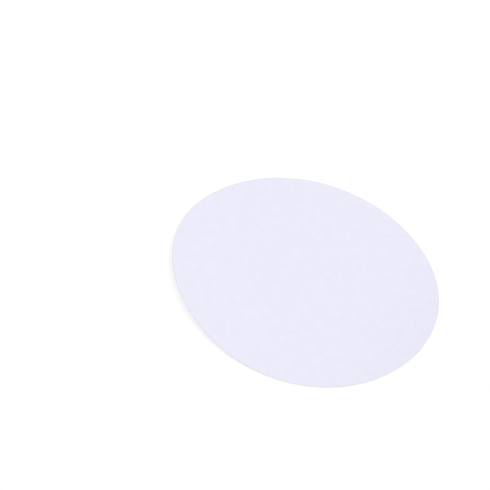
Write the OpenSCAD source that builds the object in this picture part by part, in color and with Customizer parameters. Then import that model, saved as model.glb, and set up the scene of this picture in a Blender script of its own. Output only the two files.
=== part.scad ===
// Round laboratory filter paper, cut out flat and lying on a surface with two opposite sides curled up.
// Millimetres, +Z up. The origin is the middle of the disc, on the surface that it lies on.

/* [Disc] */
// Diameter that the disc is cut to while it is flat
disc_d = 125; // [90:1:125]
// Thickness of the paper
paper_t = 0.18; // [0.15:0.01:0.3]

/* [Curl] */
// Distance from the middle of the disc to each line where the paper leaves the surface
lift_distance = 21; // [21:1:35]
// Angle between each of these lines and the Y axis, which brings them together towards -Y
lift_lean = 18; // [0:1:18]
// Bend radius of the side towards -X
left_bend_r = 205; // [150:5:600]
// Bend radius of the side towards +X
right_bend_r = 355; // [150:5:600]

/* [Hidden] */
$fn = 360;
disc_r = disc_d / 2;
// Each curled side as [the way that it faces, bend radius]
sides = [[180 + lift_lean, left_bend_r], [-lift_lean, right_bend_r]];
// The bends run on past the rim by this much before the outline cuts them
overrun = 1.2;
// Width of flat paper that each curled side shares with the middle strip, which makes them one
shared_w = 1;

// Angle that the paper turns through between its lift line and its rim
function bend_angle(bend_r) = (disc_r - lift_distance) / bend_r * 180 / PI;

// How far the rim of a curled side reaches from the middle, seen from above
function rim_reach(bend_r) = lift_distance + bend_r * sin(bend_angle(bend_r));

// Curling draws the rim in a little, which a slightly larger circle off the middle follows. It
// crosses the disc's own circle halfway along the bend and then runs out to the drawn-in reach.
function rim_centre(bend_r) =
    let (reach = rim_reach(bend_r), crossing = (lift_distance + disc_r) / 2)
    (pow(reach, 2) - pow(disc_r, 2)) / (2 * (reach - crossing));

// The disc seen from above, as it lies
module outline() {
    intersection() {
        circle(disc_r);
        intersection_for (side = sides)
            rotate(side[0])
                translate([rim_centre(side[1]), 0])
                    circle(rim_reach(side[1]) - rim_centre(side[1]));
    }
}

// Paper between the two lift lines, flat on the surface
module flat_paper() {
    linear_extrude(paper_t)
        difference() {
            square(2 * disc_d, center = true);
            for (side = sides)
                rotate(side[0])
                    translate([lift_distance, -disc_d])
                        square(2 * disc_d);
        }
}

// Paper that leaves its lift line at a tangent and bends up as it goes towards +X. It starts with
// a little of the flat paper before that line.
module curled_paper(bend_r) {
    translate([lift_distance - shared_w, -disc_r, 0])
        cube([shared_w, disc_d, paper_t]);
    translate([lift_distance, 0, bend_r])
        rotate([90, 0, 0])
            rotate(-90)
                rotate_extrude(angle = bend_angle(bend_r) * overrun)
                    translate([bend_r - paper_t, -disc_r])
                        square([paper_t, disc_d]);
}

module filter_disc() {
    color("#ECEBF9")
        intersection() {
            union() {
                flat_paper();
                for (side = sides)
                    rotate(side[0])
                        curled_paper(side[1]);
            }
            linear_extrude(disc_d, center = true)
                outline();
        }
}

filter_disc();
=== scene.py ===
# Round laboratory filter paper: one sheet of pressed cotton fibre, lying on a white table
# with two opposite sides curled up.
import bmesh
import bpy
import math
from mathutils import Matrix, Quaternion, Vector, noise


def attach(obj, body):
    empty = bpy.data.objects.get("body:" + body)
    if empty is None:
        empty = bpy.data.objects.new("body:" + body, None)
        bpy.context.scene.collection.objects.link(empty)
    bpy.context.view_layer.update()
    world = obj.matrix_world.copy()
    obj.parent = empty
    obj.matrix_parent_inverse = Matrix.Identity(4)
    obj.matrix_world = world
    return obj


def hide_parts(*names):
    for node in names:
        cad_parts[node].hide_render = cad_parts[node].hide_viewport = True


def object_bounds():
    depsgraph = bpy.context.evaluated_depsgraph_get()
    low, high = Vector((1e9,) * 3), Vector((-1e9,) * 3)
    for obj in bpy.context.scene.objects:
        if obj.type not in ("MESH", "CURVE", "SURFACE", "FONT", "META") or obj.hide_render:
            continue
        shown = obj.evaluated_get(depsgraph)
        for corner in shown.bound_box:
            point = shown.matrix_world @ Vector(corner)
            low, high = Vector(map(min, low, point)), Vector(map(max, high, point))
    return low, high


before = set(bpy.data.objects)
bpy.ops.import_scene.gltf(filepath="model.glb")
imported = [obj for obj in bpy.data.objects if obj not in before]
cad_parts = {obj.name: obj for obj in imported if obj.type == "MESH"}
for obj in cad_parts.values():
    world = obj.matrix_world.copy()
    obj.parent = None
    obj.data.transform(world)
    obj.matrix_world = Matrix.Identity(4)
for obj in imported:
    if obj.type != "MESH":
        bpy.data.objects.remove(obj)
cadLow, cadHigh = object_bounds()
millimetre = 0.001
print("frame loaded:", sorted(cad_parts))


def linearColour(hexColour):
    # turns an sRGB colour such as "#F1F0FE" into the linear one, with alpha, that a node takes
    channels = [int(hexColour[i:i + 2], 16) / 255 for i in (1, 3, 5)]
    return [c / 12.92 if c <= 0.04045 else ((c + 0.055) / 1.055) ** 2.4 for c in channels] + [1.0]


def addNode(tree, kind, settings=None, inputs=None):
    # inputs may hold plain values or the output sockets of other nodes;
    # on a Mix node two colours go in at 6 and 7, and their mix comes out at 2
    node = tree.nodes.new(kind)
    for name, value in (settings or {}).items():
        setattr(node, name, value)
    for name, value in (inputs or {}).items():
        if isinstance(value, bpy.types.NodeSocket):
            tree.links.new(value, node.inputs[name])
        else:
            node.inputs[name].default_value = value
    return node


def emptyTree(block):
    block.use_nodes = True
    block.node_tree.nodes.clear()
    return block.node_tree


def addObject(name, data):
    thing = bpy.data.objects.new(name, data)
    bpy.context.scene.collection.objects.link(thing)
    return thing


# The camera looks down on the disc from the front, rolled a little about its own line of sight.
cameraView = {
    "lens": 140.04,  # millimetres
    "sensor": 36,  # millimetres wide
    "distance": 0.875,  # metres
    "heading": -3.18,  # degrees, 0 looks along +Y
    "elevation": 46.54,
    "roll": 16.82,
    "aimRight": -0.03069,  # metres from the middle of the disc to the point that it looks at
    "aimAhead": 0.00901,
}


def makeCamera(view):
    heading, elevation = math.radians(view["heading"]), math.radians(view["elevation"])
    right = Vector((math.cos(heading), math.sin(heading), 0))
    ahead = Vector((-math.sin(heading), math.cos(heading), 0))
    sight = ahead * math.cos(elevation) - Vector((0, 0, math.sin(elevation)))
    optics = bpy.data.cameras.new("camera")
    optics.lens = view["lens"]
    optics.sensor_width = view["sensor"]
    camera = addObject("camera", optics)
    camera.location = right * view["aimRight"] + ahead * view["aimAhead"] - sight * view["distance"]
    camera.rotation_mode = "QUATERNION"
    upright = sight.to_track_quat("-Z", "Y")
    camera.rotation_quaternion = upright @ Quaternion((0, 0, 1), math.radians(view["roll"]))
    bpy.context.scene.camera = camera


makeCamera(cameraView)
print("camera placed")


# The disc is made flat, as the die cuts it, and then curled the way that it lies.
paperDisc = {
    "radius": (cadHigh.y - cadLow.y) / 2,
    "thickness": 0.18 * millimetre,
    "spokes": 288,
    "rings": 64,
    "weld": 0.001 * millimetre,  # points nearer to each other than this become one
    "edgeRound": 0.03 * millimetre,  # the die leaves the cut's two edges a little soft
    "edgeSteps": 2,
    "squareTurn": 60,  # degrees; only the paper's two edges turn more than this
    "faceTilt": 18,  # degrees; the cut and its soft edges tilt more, the two faces less
    "liftDistance": 21 * millimetre,  # from the middle to each line where the paper leaves the table
    "liftLean": 18,  # degrees between these lines and the Y axis
    "leftBendRadius": 205 * millimetre,
    "rightBendRadius": 355 * millimetre,
    "cockle": 0.12 * millimetre,  # height of the slight waves that damp air leaves in the sheet
    "cockleLength": 28 * millimetre,
    "cockleStart": Vector((3.7, 1.9, 0.4)),  # where in the noise the waves are taken from
}

# Filter paper is matt and uncoated. It shows one soft white, faintly clouded where the fibres
# settled thicker, with a net of bowed cotton fibres that only a close look finds. Beaten cotton
# fibres are 1 to 3 mm long and 0.02 mm wide, and are drawn wider here so that they show.
cottonPaper = {
    "thickWhite": "#F1F0FE",
    "thinWhite": "#EAE9F8",
    "cloudShare": 0.4,  # how far clouds and fibres go from the thin white towards the thick one
    "fibreShare": 0.6,
    "paintedRimShade": "#E4E4F2",  # painted shade: the last half millimetre is painted a little greyer, as the edge looks in shade
    "cutLight": "#EAE9F7",
    "cutShade": "#DAD9E8",
    "rimWidth": 0.5,  # all sizes from here down are in millimetres
    "cloudSize": 4.5,
    "cloudDetail": 3,
    "cloudRoughness": 0.55,
    "cloudRange": (0.3, 0.7),  # noise values where the paper is taken as thinnest and thickest
    "longFibre": {"cell": 3.4, "length": 3.0, "width": 0.13},
    "shortFibre": {"cell": 1.7, "length": 1.5, "width": 0.10},
    "fibreLayers": 4,
    "layerShift": (17.3, 5.9),  # each layer of fibres lies this far from the last, and turned
    "layerTurn": 63,  # degrees
    "fibreBow": 0.2,  # how far a fibre may bow, and the length of its taper, as shares of its length
    "fibreTaper": 0.2,
    "fibreRelief": 0.025,
    "grainSize": 0.35,
    "grainRelief": 0.008,
    "wirePitch": 0.8,  # the mould's wires are nearer 0.4 mm apart, drawn coarser so that they show
    "wireWander": 0.4,
    "wireRelief": 0.012,
    "endLength": 0.17,  # fibre ends that lie in the cut
    "endThickness": 0.033,
    "endRelief": 0.02,
    "lightDepth": 0.7,  # how far light strays among the fibres; about a third of it comes through
    "roughness": 0.95,
    "fibreRoughness": 0.82,  # a fibre's own skin is a little smoother than the felt of them all
    "cutRoughness": 0.97,
    "ior": 1.5,  # cellulose
    "specular": 0.4,
    "sheen": 0.05,  # loose fibre ends catch a little light at a low angle
    "sheenRoughness": 0.6,
}


def fibreLayer(tree, place, paper, fibre, layer):
    # one bowed fibre in each cell of a scattered pattern, turned at random
    shiftX, shiftY = paper["layerShift"]
    shifted = addNode(tree, "ShaderNodeMapping", inputs={
        "Vector": place, "Location": (shiftX * layer, shiftY * layer, 0),
        "Rotation": (0, 0, math.radians(paper["layerTurn"]) * layer)})
    cells = addNode(tree, "ShaderNodeTexVoronoi", {"voronoi_dimensions": "2D"}, {
        "Vector": shifted.outputs[0], "Scale": 1 / fibre["cell"]})
    fromMiddle = addNode(tree, "ShaderNodeVectorMath", {"operation": "SUBTRACT"}, {
        0: shifted.outputs[0], 1: cells.outputs["Position"]})
    chance = addNode(tree, "ShaderNodeSeparateColor", inputs={"Color": cells.outputs["Color"]})
    angle = addNode(tree, "ShaderNodeMath", {"operation": "MULTIPLY"}, {
        0: chance.outputs[0], 1: math.tau})
    turned = addNode(tree, "ShaderNodeVectorRotate", {"rotation_type": "Z_AXIS"}, {
        "Vector": fromMiddle.outputs[0], "Angle": angle.outputs[0]})
    axes = addNode(tree, "ShaderNodeSeparateXYZ", inputs={"Vector": turned.outputs[0]})
    mostBow = 4 * paper["fibreBow"] / fibre["length"]  # it lies along a parabola
    bow = addNode(tree, "ShaderNodeMath", {"operation": "MULTIPLY_ADD"}, {
        0: chance.outputs[1], 1: 2 * mostBow, 2: -mostBow})
    square = addNode(tree, "ShaderNodeMath", {"operation": "POWER"}, {0: axes.outputs[1], 1: 2})
    bowed = addNode(tree, "ShaderNodeMath", {"operation": "MULTIPLY_ADD"}, {
        0: square.outputs[0], 1: bow.outputs[0], 2: axes.outputs[0]})
    across = addNode(tree, "ShaderNodeMath", {"operation": "ABSOLUTE"}, {0: bowed.outputs[0]})
    along = addNode(tree, "ShaderNodeMath", {"operation": "ABSOLUTE"}, {0: axes.outputs[1]})
    side = addNode(tree, "ShaderNodeMapRange", {"interpolation_type": "SMOOTHSTEP"}, {
        "Value": across.outputs[0], "From Min": 0, "From Max": fibre["width"], "To Min": 1, "To Max": 0})
    halfLength, taper = fibre["length"] / 2, fibre["length"] * paper["fibreTaper"]
    tip = addNode(tree, "ShaderNodeMapRange", {"interpolation_type": "SMOOTHSTEP"}, {
        "Value": along.outputs[0], "From Min": halfLength - taper, "From Max": halfLength,
        "To Min": 1, "To Max": 0})
    return addNode(tree, "ShaderNodeMath", {"operation": "MULTIPLY"}, {
        0: side.outputs[0], 1: tip.outputs[0]}).outputs[0]


def fibreNet(tree, place, paper):
    net = None
    for layer in range(paper["fibreLayers"]):
        for fibre in (paper["longFibre"], paper["shortFibre"]):
            strands = fibreLayer(tree, place, paper, fibre, layer)
            if net is not None:
                strands = addNode(tree, "ShaderNodeMath", {"operation": "MAXIMUM"}, {
                    0: net, 1: strands}).outputs[0]
            net = strands
    return net


def shineThrough(surface, paper):
    # seen from below or from the side, a thin sheet lets some of the light through
    surface.inputs["Subsurface Weight"].default_value = 1
    surface.inputs["Subsurface Radius"].default_value = (1, 1, 1)
    surface.inputs["Subsurface Scale"].default_value = paper["lightDepth"] * millimetre


def paperFace(name, paper, discRadius, wireMarked):
    material = bpy.data.materials.new(name)
    tree = emptyTree(material)
    place = addNode(tree, "ShaderNodeAttribute", {"attribute_name": "flatPlace"}).outputs["Vector"]
    cloud = addNode(tree, "ShaderNodeTexNoise", inputs={
        "Vector": place, "Scale": 1 / paper["cloudSize"], "Detail": paper["cloudDetail"],
        "Roughness": paper["cloudRoughness"]})
    thinnest, thickest = paper["cloudRange"]
    density = addNode(tree, "ShaderNodeMapRange", inputs={
        "Value": cloud.outputs[0], "From Min": thinnest, "From Max": thickest,
        "To Max": paper["cloudShare"]})
    fibres = fibreNet(tree, place, paper)
    thick = addNode(tree, "ShaderNodeMath", {"operation": "MULTIPLY_ADD", "use_clamp": True}, {
        0: fibres, 1: paper["fibreShare"], 2: density.outputs[0]})
    white = addNode(tree, "ShaderNodeMix", {"data_type": "RGBA"}, {
        0: thick.outputs[0], 6: linearColour(paper["thinWhite"]), 7: linearColour(paper["thickWhite"])})
    fromMiddle = addNode(tree, "ShaderNodeVectorMath", {"operation": "LENGTH"}, {0: place})
    # painted shade: over the last half millimetre towards the rim the white turns greyer
    pressed = addNode(tree, "ShaderNodeMapRange", {"interpolation_type": "SMOOTHSTEP"}, {
        "Value": fromMiddle.outputs["Value"], "From Min": discRadius - paper["rimWidth"],
        "From Max": discRadius})
    colour = addNode(tree, "ShaderNodeMix", {"data_type": "RGBA"}, {
        0: pressed.outputs[0], 6: white.outputs[2], 7: linearColour(paper["paintedRimShade"])})
    grain = addNode(tree, "ShaderNodeTexNoise", inputs={
        "Vector": place, "Scale": 1 / paper["grainSize"]})
    relief = addNode(tree, "ShaderNodeMath", {"operation": "MULTIPLY"}, {
        0: grain.outputs[0], 1: paper["grainRelief"]}).outputs[0]
    relief = addNode(tree, "ShaderNodeMath", {"operation": "MULTIPLY_ADD"}, {
        0: fibres, 1: paper["fibreRelief"], 2: relief}).outputs[0]
    if wireMarked:
        # the side that drained on the mould keeps a faint square print of its wires
        waveScale = math.tau / 20 / paper["wirePitch"]  # a wave is tau / 20 long at a scale of 1
        for direction in ("X", "Y"):
            wires = addNode(tree, "ShaderNodeTexWave", {"bands_direction": direction}, {
                "Vector": place, "Scale": waveScale, "Distortion": paper["wireWander"]})
            relief = addNode(tree, "ShaderNodeMath", {"operation": "MULTIPLY_ADD"}, {
                0: wires.outputs["Fac"], 1: paper["wireRelief"] / 2, 2: relief}).outputs[0]
    bump = addNode(tree, "ShaderNodeBump", inputs={"Distance": millimetre, "Height": relief})
    roughness = addNode(tree, "ShaderNodeMapRange", inputs={
        "Value": fibres, "To Min": paper["roughness"], "To Max": paper["fibreRoughness"]})
    surface = addNode(tree, "ShaderNodeBsdfPrincipled", inputs={
        "Base Color": colour.outputs[2], "Roughness": roughness.outputs[0], "IOR": paper["ior"],
        "Specular IOR Level": paper["specular"], "Sheen Weight": paper["sheen"],
        "Sheen Roughness": paper["sheenRoughness"], "Normal": bump.outputs[0]})
    if wireMarked:
        shineThrough(surface, paper)
    addNode(tree, "ShaderNodeOutputMaterial", inputs={"Surface": surface.outputs[0]})
    return material


def paperCut(name, paper):
    # Across the cut the sheet is a stack of felted fibre ends, rougher and greyer than its faces.
    material = bpy.data.materials.new(name)
    tree = emptyTree(material)
    place = addNode(tree, "ShaderNodeAttribute", {"attribute_name": "flatPlace"}).outputs["Vector"]
    endSize = Vector((1 / paper["endLength"], 1 / paper["endLength"], 1 / paper["endThickness"]))
    layered = addNode(tree, "ShaderNodeMapping", inputs={"Vector": place, "Scale": endSize})
    ends = addNode(tree, "ShaderNodeTexNoise", inputs={"Vector": layered.outputs[0], "Scale": 1})
    colour = addNode(tree, "ShaderNodeMix", {"data_type": "RGBA"}, {
        0: ends.outputs[0], 6: linearColour(paper["cutShade"]), 7: linearColour(paper["cutLight"])})
    bump = addNode(tree, "ShaderNodeBump", inputs={
        "Distance": paper["endRelief"] * millimetre, "Height": ends.outputs[0]})
    surface = addNode(tree, "ShaderNodeBsdfPrincipled", inputs={
        "Base Color": colour.outputs[2], "Roughness": paper["cutRoughness"], "IOR": paper["ior"],
        "Specular IOR Level": paper["specular"], "Normal": bump.outputs[0]})
    shineThrough(surface, paper)
    addNode(tree, "ShaderNodeOutputMaterial", inputs={"Surface": surface.outputs[0]})
    return material


def cutDisc(sheet):
    # one spoke is swept all the way round, and the flat skin then gets its thickness and soft edges
    mesh = bmesh.new()
    middle = mesh.verts.new((0, 0, 0))
    rim = mesh.verts.new((sheet["radius"], 0, 0))
    mesh.edges.new((middle, rim))
    bmesh.ops.subdivide_edges(mesh, edges=mesh.edges[:], cuts=sheet["rings"] - 1)
    bmesh.ops.spin(
        mesh, geom=mesh.verts[:] + mesh.edges[:], cent=(0, 0, 0), axis=(0, 0, 1),
        angle=math.tau, steps=sheet["spokes"], use_merge=True)
    bmesh.ops.remove_doubles(mesh, verts=mesh.verts[:], dist=sheet["weld"])
    raised = bmesh.ops.extrude_face_region(mesh, geom=mesh.faces[:], use_keep_orig=True)["geom"]
    upper = [part for part in raised if isinstance(part, bmesh.types.BMVert)]
    bmesh.ops.translate(mesh, verts=upper, vec=(0, 0, sheet["thickness"]))
    bmesh.ops.recalc_face_normals(mesh, faces=mesh.faces[:])
    turn = math.radians(sheet["squareTurn"])
    corners = [edge for edge in mesh.edges if edge.calc_face_angle(0) > turn]
    bmesh.ops.bevel(
        mesh, geom=corners, offset=sheet["edgeRound"], offset_type="OFFSET", segments=sheet["edgeSteps"],
        profile=0.5, affect="EDGES", material=-1)
    return mesh


def sortFaces(mesh, sheet):
    # 0 is the felt side, 1 the wire side and 2 the cut, with a crisp border between them
    leastUpright = math.cos(math.radians(sheet["faceTilt"]))
    for face in mesh.faces:
        face.smooth = True
        if abs(face.normal.z) < leastUpright:
            face.material_index = 2
        elif face.normal.z < 0:
            face.material_index = 1
    for edge in mesh.edges:
        edge.smooth = len({face.material_index for face in edge.link_faces}) == 1


def curl(point, sheet):
    # each side beyond its lift line is wound up onto a cylinder that rests on that line
    bent = point.copy()
    lean = math.radians(sheet["liftLean"])
    for side, bendRadius in ((-1, sheet["leftBendRadius"]), (1, sheet["rightBendRadius"])):
        outward = Vector((side * math.cos(lean), -math.sin(lean), 0))
        beyond = point.dot(outward) - sheet["liftDistance"]
        if beyond > 0:
            angle = beyond / bendRadius
            bent += outward * ((bendRadius - point.z) * math.sin(angle) - beyond)
            bent.z = bendRadius - (bendRadius - point.z) * math.cos(angle)
    return bent


def shapeDisc(mesh, sheet):
    # each point keeps its place in the flat sheet, in millimetres, which the materials read
    flatPlace = mesh.verts.layers.float_vector.new("flatPlace")
    waves = {}
    for vert in mesh.verts:
        vert[flatPlace] = vert.co / millimetre
        here = Vector((vert.co.x, vert.co.y, 0)) / sheet["cockleLength"]
        waves[vert] = sheet["cockle"] * noise.noise(here + sheet["cockleStart"])
    lowest = min(waves.values())
    for vert in mesh.verts:
        vert.co = curl(vert.co, sheet)
        vert.co.z += waves[vert] - lowest


def makeDisc(sheet, paper):
    mesh = cutDisc(sheet)
    sortFaces(mesh, sheet)
    shapeDisc(mesh, sheet)
    data = bpy.data.meshes.new("filterPaperDisc")
    mesh.to_mesh(data)
    mesh.free()
    discRadius = sheet["radius"] / millimetre
    data.materials.append(paperFace("pressedCottonPaperFeltSide", paper, discRadius, False))
    data.materials.append(paperFace("pressedCottonPaperWireSide", paper, discRadius, True))
    data.materials.append(paperCut("dieCutPaperEdge", paper))
    return addObject("filterPaperDisc", data)


disc = makeDisc(paperDisc, cottonPaper)
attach(disc, "root")
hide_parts("filter_disc")
print("disc made:", len(disc.data.polygons), "faces")


# A table in white matt laminate. The camera sees it full white, with a share of the soft shadow
# that the disc throws on it.
tableTop = {
    "size": 6.0,  # metres
    "gap": 0.02 * millimetre,  # under the disc, so that the two surfaces never meet
    "white": "#E6E6E6",
    "openGlow": 1.03,  # a little past full white, so that the open table stays pure
    "shadowShare": 0.2,
}


def seenDirectly(tree):
    # 1 for rays that come straight from the camera, or by way of glass or a mirror
    path = addNode(tree, "ShaderNodeLightPath")
    either = addNode(tree, "ShaderNodeMath", {"operation": "MAXIMUM"}, {
        0: path.outputs["Is Camera Ray"], 1: path.outputs["Is Glossy Ray"]})
    return addNode(tree, "ShaderNodeMath", {"operation": "MAXIMUM"}, {
        0: either.outputs[0], 1: path.outputs["Is Transmission Ray"]}).outputs[0]


def makeTable(table):
    mesh = bmesh.new()
    bmesh.ops.create_grid(mesh, x_segments=1, y_segments=1, size=table["size"] / 2)
    bmesh.ops.translate(mesh, verts=mesh.verts[:], vec=(0, 0, -table["gap"]))
    data = bpy.data.meshes.new("tableTop")
    mesh.to_mesh(data)
    mesh.free()
    material = bpy.data.materials.new("whiteLaminate")
    tree = emptyTree(material)
    matt = addNode(tree, "ShaderNodeBsdfDiffuse", inputs={"Color": linearColour(table["white"])})
    shaded = addNode(tree, "ShaderNodeBsdfDiffuse", inputs={"Color": (1, 1, 1, 1)})
    plain = addNode(tree, "ShaderNodeEmission", inputs={"Strength": table["openGlow"]})
    shown = addNode(tree, "ShaderNodeMixShader", inputs={
        0: table["shadowShare"], 1: plain.outputs[0], 2: shaded.outputs[0]})
    chosen = addNode(tree, "ShaderNodeMixShader", inputs={
        0: seenDirectly(tree), 1: matt.outputs[0], 2: shown.outputs[0]})
    addNode(tree, "ShaderNodeOutputMaterial", inputs={"Surface": chosen.outputs[0]})
    data.materials.append(material)
    return addObject("tableTop", data)


makeTable(tableTop)
print("table made")


# One broad soft lamp nearly overhead and an even white room. At these strengths the paper's
# colours come out about as they are written.
studioLight = {
    "lamp": 1.98,
    "lampWidth": 60,  # degrees across, which keeps the disc's shadow soft
    "lampLean": (12, 11),  # degrees off the vertical, towards the front and then towards +X
    "room": 0.4,
}


def makeLight(light):
    lamp = bpy.data.lights.new("softLamp", "SUN")
    lamp.energy = light["lamp"]
    lamp.angle = math.radians(light["lampWidth"])
    front, side = light["lampLean"]
    addObject("softLamp", lamp).rotation_euler = (math.radians(front), math.radians(side), 0)
    world = bpy.data.worlds.new("whiteRoom")
    bpy.context.scene.world = world
    tree = emptyTree(world)
    lit = addNode(tree, "ShaderNodeBackground", inputs={
        "Color": (1, 1, 1, 1), "Strength": light["room"]})
    shown = addNode(tree, "ShaderNodeBackground", inputs={"Color": (1, 1, 1, 1), "Strength": 1})
    chosen = addNode(tree, "ShaderNodeMixShader", inputs={
        0: seenDirectly(tree), 1: lit.outputs[0], 2: shown.outputs[0]})
    addNode(tree, "ShaderNodeOutputWorld", inputs={"Surface": chosen.outputs[0]})


makeLight(studioLight)
bpy.context.scene.view_settings.view_transform = "Standard"
print("light set")
